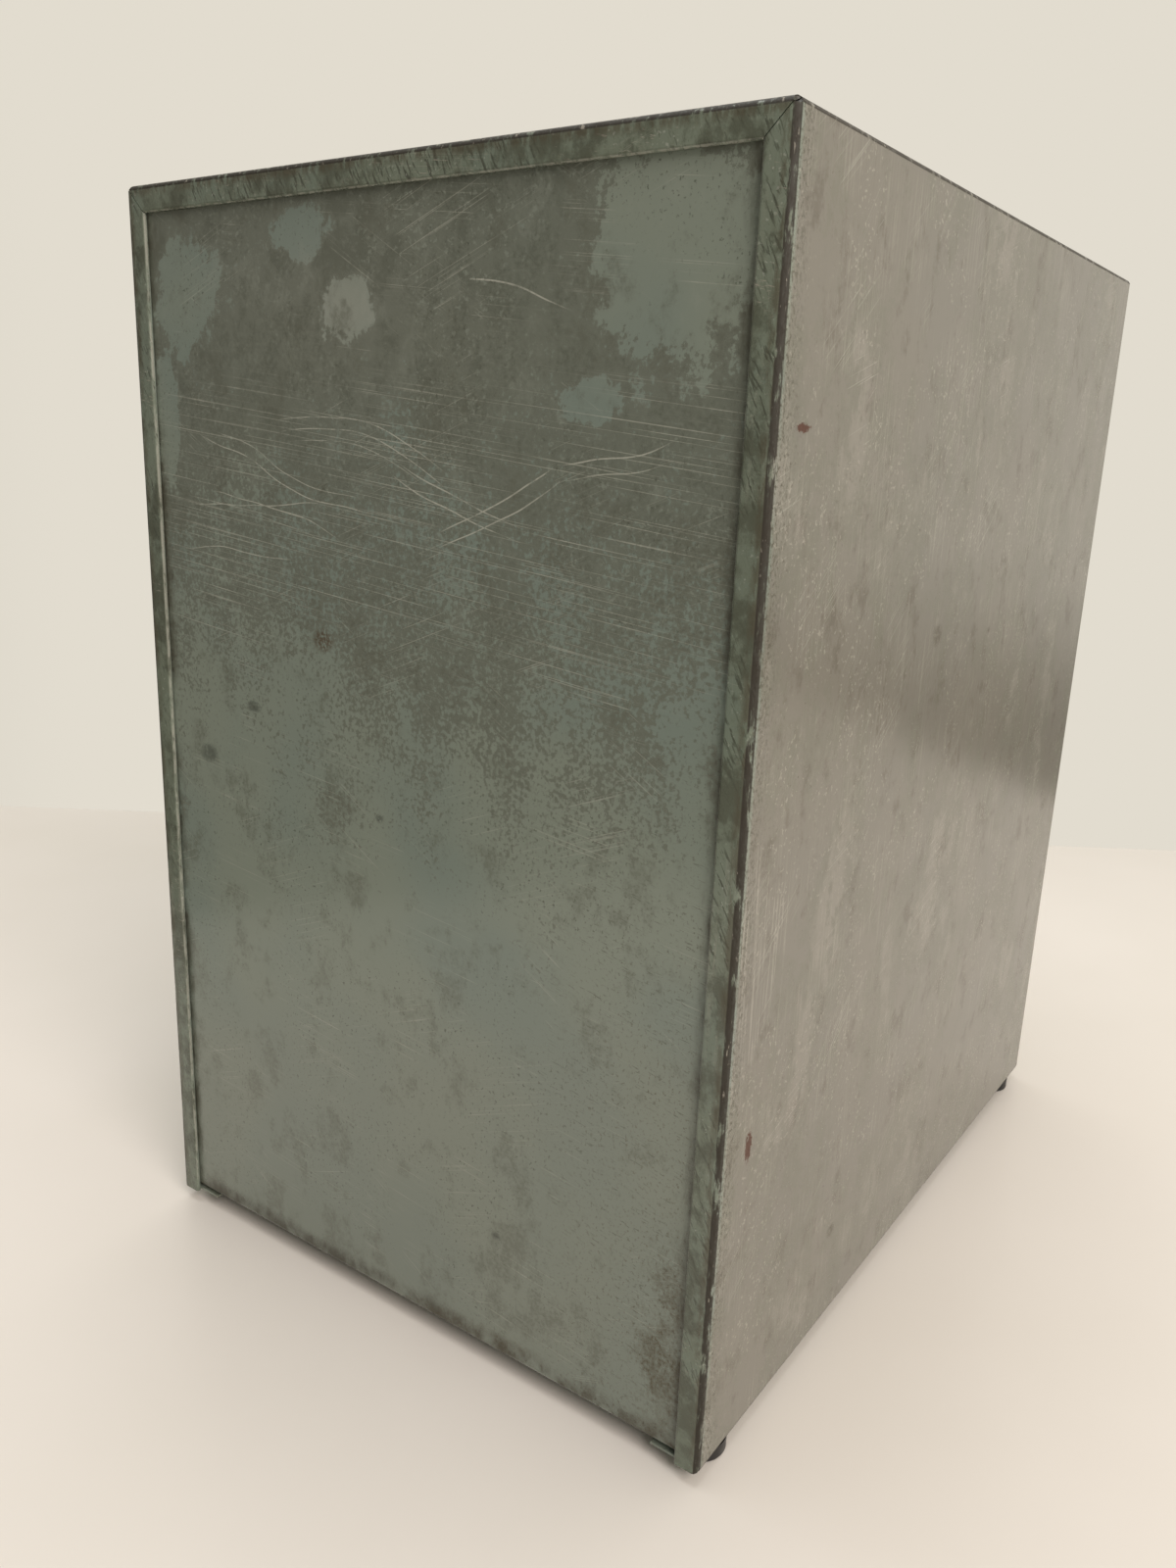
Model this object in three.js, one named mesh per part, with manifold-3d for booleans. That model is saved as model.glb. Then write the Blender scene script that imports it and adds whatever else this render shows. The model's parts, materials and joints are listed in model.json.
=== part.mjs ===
// A desk-top filing cabinet in folded sheet steel, with five flat drawers.
// Millimetres, +Z up. The drawers face -Y. The origin is the bottom centre of the whole cabinet:
// the feet stand on z = 0, and x = 0 is the middle of its width.

import * as THREE from 'three';
import { mergeVertices } from 'three/addons/utils/BufferGeometryUtils.js';
import Module from 'manifold-3d';

// ---- the case, outside ----
const caseWidth = 280;
const caseDepth = 372;
const caseHeight = 431;
const caseSheet = 1.0;
const bendRadius = 1.5; // inside a bend of the case
const rearFlange = 10;
const hemReturn = 5; // length folded back at the rear flange's inner edge
const frontReturn = 12;
const bottomReturn = 21;
const mitreGap = 0.35;
const cornerRelief = 1.9; // radius of the relief where three bends meet
const frontChamfer = 4; // off the case's lowest front corners, where two bends meet

// ---- clearances ----
const weldGap = 0.1; // paint film between sheets that are welded together
const slideGap = 0.3; // under a drawer on its runners
const sideGap = 1.0; // from a drawer front to the return beside it
const frontGap = 1.5; // above and below each drawer front
const stopGap = 0.4; // between a drawer and what stops it
const screwGap = 0.25; // round a screw or rivet in its hole

// ---- inside the case ----
const lipHeight = 12; // the base panel's front lip, above the case's lowest edge
const baseFlange = 9;
const backFoot = 14; // the back panel's bottom flange
const runnerSheet = 1.0;
const runnerWeb = 14;
const runnerOverlap = 10; // how far a runner reaches under its drawer
const stopSheet = 1.0;
const stopFlange = 12;
const stopLeg = 14;
const stopInset = 60; // from the case's side to a rear stop

// ---- feet ----
const footHeight = 6;
const footRadius = 10.2;
const footFlat = 8.8; // radius of the flat that stands on the table
const footInset = 10.5; // from the case's side to the foot's middle
const footSetback = 19.5; // from the case's front or back to the foot's middle
const footScrewRadius = 1.5;
const footScrewHead = 2.7;
const footScrewHeadHeight = 1.9;
const footHeadDepth = 2.6; // how deep the head's seat is
const nutRadius = 3.1;
const nutHeight = 2.4;

// ---- drawers ----
const drawerCount = 5;
const drawerTravel = 260;
const drawerSheet = 0.8;
const frontDepth = 12;
const frontRecess = 0.6; // a closed drawer's face lies this far behind the case's front edge
const frontEdge = 1.6; // rounding of a drawer front
const rimDrop = 11.6; // from the top of a drawer front down to its tray's rim
const trayHem = 6;
const trayBend = 1.2;
const earWidth = 7; // the tabs that stop an open drawer
const earHeight = 12;
const earDrop = 13; // below the tray's rim

// ---- the pull with its label frame ----
const pullWidth = 62;
const pullSheet = 1.1;
const pullReach = 14.6; // from the drawer's face to the lip's outside
const pullCurve = 9; // inside radius of the lip
const pullDrop = 17;
const frameHeight = 27;
const frameRim = 4.5;
const framePocket = 1.2; // room for the card behind the frame
const cardThickness = 0.4;
const cardGap = 0.4;
const tabLength = 9;
const tabHeight = 14;
const rivetRadius = 1.5;
const rivetHead = 3.0;
const rivetHeadHeight = 1.1;
const rivetTail = 0.8;

const paintColour = 0x6f776b;
const trayColour = 0x787f73;
const runnerColour = 0x8b8d88;
const nickelColour = 0xb9b4a6;
const steelColour = 0x9a9994;
const rubberColour = 0x141414;
const cardColour = 0xd9d0b8;

const arcSteps = 4;
const roundSteps = 18;
const smallSteps = 12; // round a screw, a rivet or their holes

// ---- worked out from the sizes above ----
const halfWidth = caseWidth / 2;
const pullStandout = pullReach - frontRecess;
const backY = (caseDepth + pullStandout) / 2;
const frontY = backY - caseDepth;
const bottomZ = footHeight;
const topZ = bottomZ + caseHeight;
const outerBend = bendRadius + caseSheet;
const innerHalf = halfWidth - caseSheet;
const hemThickness = 2 * caseSheet + weldGap;
const panelOuterY = backY - hemThickness - weldGap;
const panelInnerY = panelOuterY - caseSheet;
const baseZ = bottomZ + caseSheet + weldGap;
const floorZ = baseZ + caseSheet;
const lipTop = bottomZ + lipHeight;
const openingTop = topZ - frontReturn;
const frontHalf = halfWidth - frontReturn - sideGap;
const trayHalf = frontHalf - drawerSheet;
const frontPitch = (openingTop - lipTop - frontGap) / drawerCount;
const frontHeight = frontPitch - frontGap;
const trayWall = frontHeight - rimDrop;
const faceY = frontY + frontRecess;
const trayFrontY = faceY + frontEdge + weldGap;
const stopFaceY = panelInnerY - weldGap - stopLeg;
const trayBackY = stopFaceY - stopGap;
const earY = frontY + caseSheet + stopGap + drawerTravel;

const wasm = await Module();
wasm.setup();

// A closed three.js geometry as a solid that can be joined and cut.
function solid(geometry) {
  const bare = geometry.clone();
  bare.deleteAttribute('normal');
  bare.deleteAttribute('uv');
  const merged = mergeVertices(bare, 1e-5);
  return new wasm.Manifold(new wasm.Mesh({
    numProp: 3,
    vertProperties: new Float32Array(merged.attributes.position.array),
    triVerts: new Uint32Array(merged.index.array),
  }));
}

function geometryOf(body) {
  const mesh = body.getMesh();
  const geometry = new THREE.BufferGeometry();
  geometry.setAttribute('position', new THREE.BufferAttribute(new Float32Array(mesh.vertProperties), 3));
  geometry.setIndex(new THREE.BufferAttribute(new Uint32Array(mesh.triVerts), 1));
  geometry.computeVertexNormals();
  return geometry;
}

function join(...bodies) {
  return bodies.reduce((all, body) => all.add(body));
}

function cut(body, ...tools) {
  return tools.reduce((left, tool) => left.subtract(tool), body);
}

// A block between two corners.
function block(low, high) {
  const size = high.map((value, axis) => value - low[axis]);
  const middle = high.map((value, axis) => (value + low[axis]) / 2);
  return solid(new THREE.BoxGeometry(...size).translate(...middle));
}

// Extrudes a flat outline. Its first coordinate runs along `across`, its second along `up`,
// and the outline moves from `origin` by `length` at right angles to both.
function extrude(outline, origin, across, up, length) {
  const shape = new THREE.Shape(outline.map(([a, b]) => new THREE.Vector2(a, b)));
  const geometry = new THREE.ExtrudeGeometry(shape, { depth: length, bevelEnabled: false });
  const first = new THREE.Vector3(...across);
  const second = new THREE.Vector3(...up);
  const frame = new THREE.Matrix4().makeBasis(first, second, first.clone().cross(second));
  geometry.applyMatrix4(frame.setPosition(...origin));
  return solid(geometry);
}

// Outline in x and z, running from backEnd towards the front.
function alongY(outline, frontEnd, backEnd) {
  return extrude(outline, [0, backEnd, 0], [1, 0, 0], [0, 0, 1], backEnd - frontEnd);
}

// Outline in y and z, running from leftEnd to rightEnd.
function alongX(outline, leftEnd, rightEnd) {
  return extrude(outline, [leftEnd, 0, 0], [0, 1, 0], [0, 0, 1], rightEnd - leftEnd);
}

// Outline in x and y, running upwards.
function alongZ(outline, lowEnd, highEnd) {
  return extrude(outline, [0, 0, lowEnd], [1, 0, 0], [0, 1, 0], highEnd - lowEnd);
}

// The two faces of a bent sheet whose middle follows the corners. A corner is [a, b, radius], where
// the radius is that of the bend's inside face.
function sheetFaces(corners, thickness) {
  const points = corners.map(([a, b]) => new THREE.Vector2(a, b));
  const left = [];
  const right = [];
  const add = (point, heading) => {
    const side = new THREE.Vector2(-heading.y, heading.x).multiplyScalar(thickness / 2);
    left.push([point.x + side.x, point.y + side.y]);
    right.push([point.x - side.x, point.y - side.y]);
  };
  const headings = points.slice(1).map((point, index) => point.clone().sub(points[index]).normalize());
  add(points[0], headings[0]);
  for (let index = 1; index < points.length - 1; index += 1) {
    const before = headings[index - 1];
    const after = headings[index];
    const turn = Math.atan2(before.cross(after), before.dot(after));
    const radius = corners[index][2] + thickness / 2;
    const start = points[index].clone().addScaledVector(before, -radius * Math.tan(Math.abs(turn) / 2));
    const inward = new THREE.Vector2(-before.y, before.x).multiplyScalar(Math.sign(turn) * radius);
    const centre = start.clone().add(inward);
    for (let step = 0; step <= arcSteps; step += 1) {
      const angle = (turn * step) / arcSteps;
      const spoke = inward.clone().negate().rotateAround(new THREE.Vector2(), angle);
      add(centre.clone().add(spoke), before.clone().rotateAround(new THREE.Vector2(), angle));
    }
  }
  add(points[points.length - 1], headings[headings.length - 1]);
  return { left, right };
}

function sheetOutline(corners, thickness) {
  const faces = sheetFaces(corners, thickness);
  return [...faces.left, ...faces.right.reverse()];
}

function cylinder(radius, centre, lowEnd, highEnd) {
  const geometry = new THREE.CylinderGeometry(radius, radius, highEnd - lowEnd, smallSteps);
  geometry.rotateX(Math.PI / 2);
  return solid(geometry.translate(centre[0], centre[1], (lowEnd + highEnd) / 2));
}

// A turned piece: the profile lists radius and height, and starts and ends on the axis or closes.
function turned(profile, steps = roundSteps) {
  const points = profile.map(([radius, height]) => new THREE.Vector2(radius, height));
  return new THREE.LatheGeometry(points, steps).rotateX(Math.PI / 2);
}

const cabinet = new THREE.Group();
cabinet.name = 'filing_cabinet';

function addPiece(parent, name, body, colour, roughness, metalness) {
  const geometry = body instanceof THREE.BufferGeometry ? body : geometryOf(body);
  const material = new THREE.MeshStandardMaterial({ color: colour, roughness, metalness });
  const mesh = new THREE.Mesh(geometry, material);
  mesh.name = name;
  parent.add(mesh);
  return mesh;
}

const footPlaces = [
  ['front_left', -1, frontY + footSetback],
  ['front_right', 1, frontY + footSetback],
  ['back_left', -1, backY - footSetback],
  ['back_right', 1, backY - footSetback],
].map(([name, side, y]) => ({ name, x: side * (halfWidth - footInset), y }));

function footHoles(body, lowEnd, highEnd) {
  const radius = footScrewRadius + screwGap;
  return cut(body, ...footPlaces.map(({ x, y }) => cylinder(radius, [x, y], lowEnd, highEnd)));
}

// ---- the wrapper: sides and top in one sheet, with returns at the front, the back and below ----
function caseWrapper() {
  const mid = caseSheet / 2;
  const wall = halfWidth - mid;
  const foot = bottomZ + mid;
  const body = sheetFaces([
    [-(halfWidth - bottomReturn), foot],
    [-wall, foot, bendRadius],
    [-wall, topZ - mid, bendRadius],
    [wall, topZ - mid, bendRadius],
    [wall, foot, bendRadius],
    [halfWidth - bottomReturn, foot],
  ], caseSheet);
  const outside = alongY(body.left, frontY, backY);
  const sheet = alongY([...body.left, ...body.right.reverse()], frontY + outerBend, backY - outerBend);

  // Across a strip: distance in from the case's side, then distance in from its front or back.
  const tail = outerBend + 1;
  const hemEdge = rearFlange - mid;
  const hemBend = weldGap / 2;
  const rearStrip = sheetOutline([
    [mid, tail],
    [mid, mid, bendRadius],
    [hemEdge, mid, hemBend],
    [hemEdge, mid + caseSheet + weldGap, hemBend],
    [rearFlange - hemReturn, mid + caseSheet + weldGap],
  ], caseSheet);
  const frontStrip = sheetOutline([[mid, tail], [mid, mid, bendRadius], [frontReturn, mid]], caseSheet);

  const slot = mitreGap * Math.SQRT1_2;
  const reach = 2 * frontReturn;
  const span = [frontY - 1, backY + 1];
  const topSector = alongY([
    [slot - halfWidth, topZ],
    [reach + slot - halfWidth, topZ - reach],
    [halfWidth - slot - reach, topZ - reach],
    [halfWidth - slot, topZ],
  ], ...span);
  const sideSector = (side) => alongY([
    [side * halfWidth, bottomZ],
    [side * halfWidth, topZ - slot],
    [side * (halfWidth - reach), topZ - slot - reach],
    [side * (halfWidth - reach), bottomZ],
  ], ...span);

  const strips = [[rearStrip, backY, -1], [frontStrip, frontY, 1]].flatMap(([profile, y, inward]) => {
    const strip = (side) => {
      const start = side * inward < 0 ? bottomZ : topZ;
      return extrude(profile, [side * halfWidth, y, start], [-side, 0, 0], [0, inward, 0], caseHeight);
    };
    const top = extrude(profile, [-inward * halfWidth, y, topZ], [0, 0, -1], [0, inward, 0], caseWidth);
    return [
      strip(-1).intersect(sideSector(-1)),
      strip(1).intersect(sideSector(1)),
      top.intersect(topSector),
    ];
  });
  const reliefs = [-1, 1].flatMap((side) => [backY, frontY].map((y) => {
    const ball = new THREE.SphereGeometry(cornerRelief, 8, 6);
    return solid(ball.translate(side * (halfWidth - mid), y + (y > 0 ? -mid : mid), topZ - mid));
  }));
  const chamfer = alongX([
    [frontY - 1, bottomZ - 1],
    [frontY + frontChamfer + 1, bottomZ - 1],
    [frontY - 1, bottomZ + frontChamfer + 1],
  ], -halfWidth - 1, halfWidth + 1);
  const folded = cut(join(sheet, ...strips).intersect(outside), ...reliefs, chamfer);
  return footHoles(folded, bottomZ - 1, baseZ);
}

// ---- the back panel: a flat sheet behind the rear flanges, bent forward along its bottom ----
function backPanel() {
  const half = innerHalf - sideGap / 2;
  const mid = caseSheet / 2;
  const low = floorZ + weldGap;
  const outline = sheetOutline([
    [panelOuterY - backFoot, low + mid],
    [panelOuterY - mid, low + mid, bendRadius],
    [panelOuterY - mid, topZ - caseSheet - sideGap / 2],
  ], caseSheet);
  // the foot is narrower than the panel: it lies between the base panel's side flanges and foot nuts
  const flangeInside = innerHalf - weldGap - caseSheet - bendRadius - weldGap;
  const footHalf = Math.min(flangeInside, halfWidth - footInset - nutRadius) - sideGap;
  const notches = [-1, 1].map((side) => block(
    [Math.min(side * footHalf, side * halfWidth), panelOuterY - backFoot - 1, bottomZ],
    [Math.max(side * footHalf, side * halfWidth), panelOuterY - outerBend, low + outerBend],
  ));
  return cut(alongX(outline, -half, half), ...notches);
}

// ---- the base panel: lies on the wrapper's bottom returns, with flanges up its sides and a front lip ----
function basePanel() {
  const mid = caseSheet / 2;
  const half = innerHalf - weldGap - mid;
  const bend = bendRadius + weldGap;
  const lipY = frontY + caseSheet + weldGap + mid;
  const sideFold = sheetOutline([
    [-half, baseZ + baseFlange],
    [-half, baseZ + mid, bend],
    [half, baseZ + mid, bend],
    [half, baseZ + baseFlange],
  ], caseSheet);
  const lipStart = lipY + bend + caseSheet + 1;
  const lip = sheetOutline([
    [lipStart + 10, baseZ + mid],
    [lipY, baseZ + mid, bend],
    [lipY, lipTop],
  ], caseSheet);
  const lipHalf = half - bend - caseSheet - 1;
  const panel = join(
    alongY(sideFold, lipStart, panelInnerY - bendRadius - 1),
    alongX(lip, -lipHalf, lipHalf),
  );
  return footHoles(panel, bottomZ, floorZ + 1);
}

// ---- an angle on the back panel's inside, that the drawers close against ----
function rearStop(side) {
  const x = side * (halfWidth - stopInset);
  const low = lipTop + frontGap;
  const high = openingTop;
  const rear = panelInnerY - weldGap;
  return join(
    block([x - stopFlange / 2, rear - stopSheet, low], [x + stopFlange / 2, rear, high]),
    block([x - stopSheet / 2, stopFaceY, low], [x + stopSheet / 2, rear - stopSheet / 2, high]),
  );
}

// Height of the underside of a drawer front. Drawer 1 is the top one.
function frontLow(number) {
  return lipTop + frontGap + (drawerCount - number) * frontPitch;
}

// ---- a runner: an angle welded to the side, with its shelf under the drawer's floor ----
function runner(number, side) {
  const shelfTop = frontLow(number) + drawerSheet + weldGap - slideGap;
  const mid = runnerSheet / 2;
  const wall = innerHalf - weldGap - mid;
  const outline = sheetOutline([
    [side * wall, shelfTop + runnerWeb],
    [side * wall, shelfTop - mid, runnerSheet],
    [side * (trayHalf - runnerOverlap), shelfTop - mid],
  ], runnerSheet);
  return alongY(outline, faceY + frontDepth + frontGap, panelInnerY - slideGap);
}

// ---- a rubber foot, and the screw and nut that hold it ----
function foot() {
  const top = bottomZ - weldGap;
  const shank = footScrewRadius + screwGap;
  const seat = footScrewHead + screwGap;
  const dome = [];
  for (let step = 0; step <= 4; step += 1) {
    const angle = (step / 4) * (Math.PI / 2);
    const radius = footFlat + (footRadius - footFlat) * Math.sin(angle);
    dome.push([radius, (top - 1) * (1 - Math.cos(angle))]);
  }
  return turned([
    [seat, footHeadDepth],
    [seat, 0],
    ...dome,
    [footRadius, top],
    [shank, top],
    [shank, footHeadDepth],
    [seat, footHeadDepth],
  ]);
}

function footScrew() {
  const headTop = footHeadDepth - weldGap;
  const headLow = headTop - footScrewHeadHeight;
  const tip = floorZ + nutHeight + 2;
  return turned([
    [0, headLow],
    [footScrewHead * 0.7, headLow],
    [footScrewHead, headLow + footScrewHeadHeight * 0.45],
    [footScrewHead, headTop],
    [footScrewRadius, headTop],
    [footScrewRadius, tip - 0.5],
    [footScrewRadius - 0.5, tip],
    [0, tip],
  ], smallSteps);
}

function footNut() {
  const low = floorZ + weldGap;
  const hexagon = new THREE.CylinderGeometry(nutRadius, nutRadius, nutHeight, 6).rotateX(Math.PI / 2);
  const body = solid(hexagon.translate(0, 0, low + nutHeight / 2));
  return cut(body, cylinder(footScrewRadius + screwGap, [0, 0], low - 1, low + nutHeight + 1));
}

// ---- a drawer, drawn at height 0 and placed by its group ----
const rivetX = pullWidth / 2 + tabLength / 2;
const pullFoot = (frontHeight - frameHeight + pullDrop) / 2 - 1; // underside of the label frame
const rivetZ = pullFoot + frameHeight / 2;

// A rounded block whose face is at y = 0 and whose back is open for the next cut.
function pressing(half, low, high, edge, depth) {
  const corner = edge;
  const outline = new THREE.Shape();
  outline.moveTo(-half + edge + corner, low + edge);
  outline.lineTo(half - edge - corner, low + edge);
  outline.absarc(half - edge - corner, low + edge + corner, corner, -Math.PI / 2, 0);
  outline.absarc(half - edge - corner, high - edge - corner, corner, 0, Math.PI / 2);
  outline.absarc(-half + edge + corner, high - edge - corner, corner, Math.PI / 2, Math.PI);
  outline.absarc(-half + edge + corner, low + edge + corner, corner, Math.PI, 1.5 * Math.PI);
  const geometry = new THREE.ExtrudeGeometry(outline, {
    depth,
    curveSegments: 2,
    bevelSize: edge,
    bevelThickness: edge,
    bevelSegments: 2,
  });
  geometry.rotateX(Math.PI / 2).translate(0, depth + edge, 0);
  const whole = solid(geometry);
  return whole.intersect(block([-half - 1, -1, low - 1], [half + 1, depth, high + 1]));
}

function rivetHoles(lowEnd, highEnd) {
  const radius = rivetRadius + screwGap;
  return [-1, 1].map((side) => {
    const drill = new THREE.CylinderGeometry(radius, radius, highEnd - lowEnd, smallSteps);
    return solid(drill.translate(side * rivetX, (lowEnd + highEnd) / 2, rivetZ));
  });
}

function drawerFront() {
  const shell = cut(
    pressing(frontHalf, 0, frontHeight, frontEdge, frontDepth),
    pressing(trayHalf, drawerSheet, frontHeight - drawerSheet, frontEdge - drawerSheet, frontDepth + 1)
      .translate([0, drawerSheet, 0]),
  );
  return cut(shell, ...rivetHoles(-1, drawerSheet + 1)).translate([0, faceY, 0]);
}

function drawerTray() {
  const low = drawerSheet + weldGap;
  const mid = drawerSheet / 2;
  const half = trayHalf - weldGap - mid;
  const fold = weldGap / 2;
  const side = sheetOutline([
    [-half + drawerSheet + weldGap, trayWall - trayHem],
    [-half + drawerSheet + weldGap, trayWall - mid, fold],
    [-half, trayWall - mid, fold],
    [-half, low + mid, trayBend],
    [half, low + mid, trayBend],
    [half, trayWall - mid, fold],
    [half - drawerSheet - weldGap, trayWall - mid, fold],
    [half - drawerSheet - weldGap, trayWall - trayHem],
  ], drawerSheet);
  const inside = half - mid;
  const back = block(
    [-inside, trayBackY - drawerSheet, low + mid],
    [inside, trayBackY, trayWall - trayHem - sideGap],
  );
  const ears = [-1, 1].map((end) => {
    const inner = end * half;
    const outer = end * (half + mid + earWidth);
    return block(
      [Math.min(inner, outer), earY, trayWall - earDrop - earHeight],
      [Math.max(inner, outer), earY + drawerSheet, trayWall - earDrop],
    );
  });
  return join(alongY(side, trayFrontY, trayBackY), back, ...ears);
}

// Everything on the pull is placed from the drawer's face: `out` is the distance in front of it.
function outBlock(halfLength, outLow, outHigh, low, high) {
  return block([-halfLength, faceY - outHigh, low], [halfLength, faceY - outLow, high]);
}

function drawerPull() {
  const frameOut = weldGap + framePocket + pullSheet;
  const mid = pullSheet / 2;
  const half = pullWidth / 2;
  const top = pullFoot + frameHeight;
  const lipFaces = sheetFaces([
    [faceY - weldGap, pullFoot + mid],
    [faceY - pullReach + mid, pullFoot + mid, pullCurve],
    [faceY - pullReach + mid, pullFoot - pullDrop],
  ], pullSheet);
  const lip = [...lipFaces.left, ...[...lipFaces.right].reverse()];
  const cheek = [...lipFaces.right, [faceY - weldGap, pullFoot - pullDrop * 0.55]];
  const cheeks = [-half, half - pullSheet].map((x) => alongX(cheek, x, x + pullSheet));
  const tabLow = rivetZ - tabHeight / 2;
  const tabs = outBlock(half + tabLength, weldGap, weldGap + pullSheet, tabLow, tabLow + tabHeight);
  const frame = outBlock(half, weldGap, frameOut, pullFoot, top);
  const pocketDepth = weldGap + framePocket;
  const pocket = outBlock(half - pullSheet, weldGap - 1, pocketDepth, pullFoot + pullSheet, top + 1);
  const window = outBlock(half - frameRim, 0, frameOut + 1, pullFoot + frameRim, top - frameRim);
  const body = cut(join(frame, alongX(lip, -half, half), ...cheeks, tabs), pocket, window);
  return cut(body, ...rivetHoles(-3, 1).map((hole) => hole.translate([0, faceY, 0])));
}

function labelCard() {
  const half = pullWidth / 2 - pullSheet - cardGap;
  const low = pullFoot + pullSheet + cardGap;
  const high = pullFoot + frameHeight - cardGap;
  return outBlock(half, weldGap + cardGap, weldGap + cardGap + cardThickness, low, high);
}

// A domed rivet through the pull's tab and the drawer's face, spread behind the face.
function rivet(side) {
  const under = weldGap + pullSheet + weldGap;
  const tail = -drawerSheet - weldGap;
  const profile = [
    [0, tail - rivetTail],
    [rivetHead * 0.6, tail - rivetTail],
    [rivetHead * 0.8, tail],
    [rivetRadius, tail],
    [rivetRadius, under],
  ];
  for (let step = 0; step <= 3; step += 1) {
    const angle = (step / 3) * (Math.PI / 2);
    profile.push([rivetHead * Math.cos(angle), under + rivetHeadHeight * Math.sin(angle)]);
  }
  return turned(profile, smallSteps).rotateX(Math.PI / 2).translate(side * rivetX, faceY, rivetZ);
}

addPiece(cabinet, 'case_wrapper', caseWrapper(), paintColour, 0.35, 0.1);
addPiece(cabinet, 'back_panel', backPanel(), paintColour, 0.35, 0.1);
addPiece(cabinet, 'base_panel', basePanel(), trayColour, 0.5, 0.1);
[['left', -1], ['right', 1]].forEach(([name, side]) => {
  addPiece(cabinet, `rear_stop_${name}`, rearStop(side), runnerColour, 0.45, 0.6);
});

for (const { name, x, y } of footPlaces) {
  const stand = new THREE.Group();
  stand.position.set(x, y, 0);
  addPiece(stand, `foot_${name}`, foot(), rubberColour, 0.4, 0);
  addPiece(stand, `foot_screw_${name}`, footScrew(), steelColour, 0.35, 0.9);
  addPiece(stand, `foot_nut_${name}`, footNut(), steelColour, 0.35, 0.9);
  cabinet.add(stand);
}

for (let number = 1; number <= drawerCount; number += 1) {
  [['left', -1], ['right', 1]].forEach(([name, side]) => {
    addPiece(cabinet, `runner_${name}_${number}`, runner(number, side), runnerColour, 0.45, 0.6);
  });
  const drawer = new THREE.Group();
  drawer.position.z = frontLow(number);
  const named = (piece) => `drawer_${number}_${piece}`;
  addPiece(drawer, named('tray'), drawerTray(), trayColour, 0.45, 0.1);
  addPiece(drawer, named('front'), drawerFront(), paintColour, 0.35, 0.1);
  addPiece(drawer, named('pull'), drawerPull(), nickelColour, 0.3, 0.9);
  addPiece(drawer, named('card'), labelCard(), cardColour, 0.8, 0);
  addPiece(drawer, named('rivet_left'), rivet(-1), nickelColour, 0.3, 0.9);
  addPiece(drawer, named('rivet_right'), rivet(1), nickelColour, 0.3, 0.9);
  cabinet.add(drawer);
}

export default cabinet;
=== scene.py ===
import json
import math

import bpy
from mathutils import Matrix, Vector

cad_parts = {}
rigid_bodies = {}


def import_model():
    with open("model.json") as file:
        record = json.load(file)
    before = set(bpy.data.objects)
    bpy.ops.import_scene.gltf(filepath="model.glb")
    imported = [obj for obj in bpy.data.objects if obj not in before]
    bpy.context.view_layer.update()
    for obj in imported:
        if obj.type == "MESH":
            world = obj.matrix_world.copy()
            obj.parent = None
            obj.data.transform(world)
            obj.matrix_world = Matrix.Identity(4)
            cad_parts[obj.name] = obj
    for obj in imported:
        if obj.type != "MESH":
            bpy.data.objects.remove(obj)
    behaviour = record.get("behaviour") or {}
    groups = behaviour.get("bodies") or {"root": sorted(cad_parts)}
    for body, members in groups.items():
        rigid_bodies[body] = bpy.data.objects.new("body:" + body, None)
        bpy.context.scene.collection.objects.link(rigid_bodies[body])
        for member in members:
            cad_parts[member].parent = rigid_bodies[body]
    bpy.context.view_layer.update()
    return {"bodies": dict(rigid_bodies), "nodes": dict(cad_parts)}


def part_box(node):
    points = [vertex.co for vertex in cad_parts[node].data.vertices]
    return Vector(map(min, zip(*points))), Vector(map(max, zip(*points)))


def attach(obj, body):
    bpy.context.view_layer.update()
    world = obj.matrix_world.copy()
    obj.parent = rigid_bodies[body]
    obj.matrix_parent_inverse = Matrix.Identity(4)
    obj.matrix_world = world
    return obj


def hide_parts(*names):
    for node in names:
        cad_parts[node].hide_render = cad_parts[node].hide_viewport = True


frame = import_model()
scene = bpy.context.scene
nodes = frame["nodes"]
mm = 0.001
drawers = sorted(name for name in frame["bodies"] if name.startswith("drawer_"))
print("loaded the cabinet:", len(nodes), "pieces,", len(drawers), "drawers")

# the case's own planes in mm, read from its pieces
wrapLow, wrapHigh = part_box("case_wrapper")
halfWide = wrapHigh.x / mm
backEdge = wrapHigh.y / mm
frontEdge = wrapLow.y / mm
topEdge = wrapHigh.z / mm
lowEdge = wrapLow.z / mm
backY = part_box("back_panel")[1].y / mm

cameraLook = {
    "place": (-0.2968, 0.5023, 0.3494),  # m
    "heading": 214.67,  # degrees round the vertical
    "downTilt": 15.55,
    "roll": 2.18,
    "lens": 28.02,  # mm
    "sensor": 36,  # mm
    "near": 0.01,  # m, where the view starts
}


def addCamera():
    data = bpy.data.cameras.new("camera")
    data.lens = cameraLook["lens"]
    data.sensor_width = cameraLook["sensor"]
    data.clip_start = cameraLook["near"]
    camera = bpy.data.objects.new("camera", data)
    scene.collection.objects.link(camera)
    turn = Matrix.Rotation(math.radians(cameraLook["heading"]), 4, "Z")
    tip = Matrix.Rotation(math.radians(90 - cameraLook["downTilt"]), 4, "X")
    roll = Matrix.Rotation(math.radians(cameraLook["roll"]), 4, "Z")
    camera.matrix_world = Matrix.Translation(cameraLook["place"]) @ turn @ tip @ roll
    scene.camera = camera


# sRGB hex to the linear colour that a shader takes
def linear(code):
    parts = [int(code[i:i + 2], 16) / 255 for i in (1, 3, 5)]
    return [c / 12.92 if c <= 0.04045 else ((c + 0.055) / 1.055) ** 2.4 for c in parts] + [1]


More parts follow.
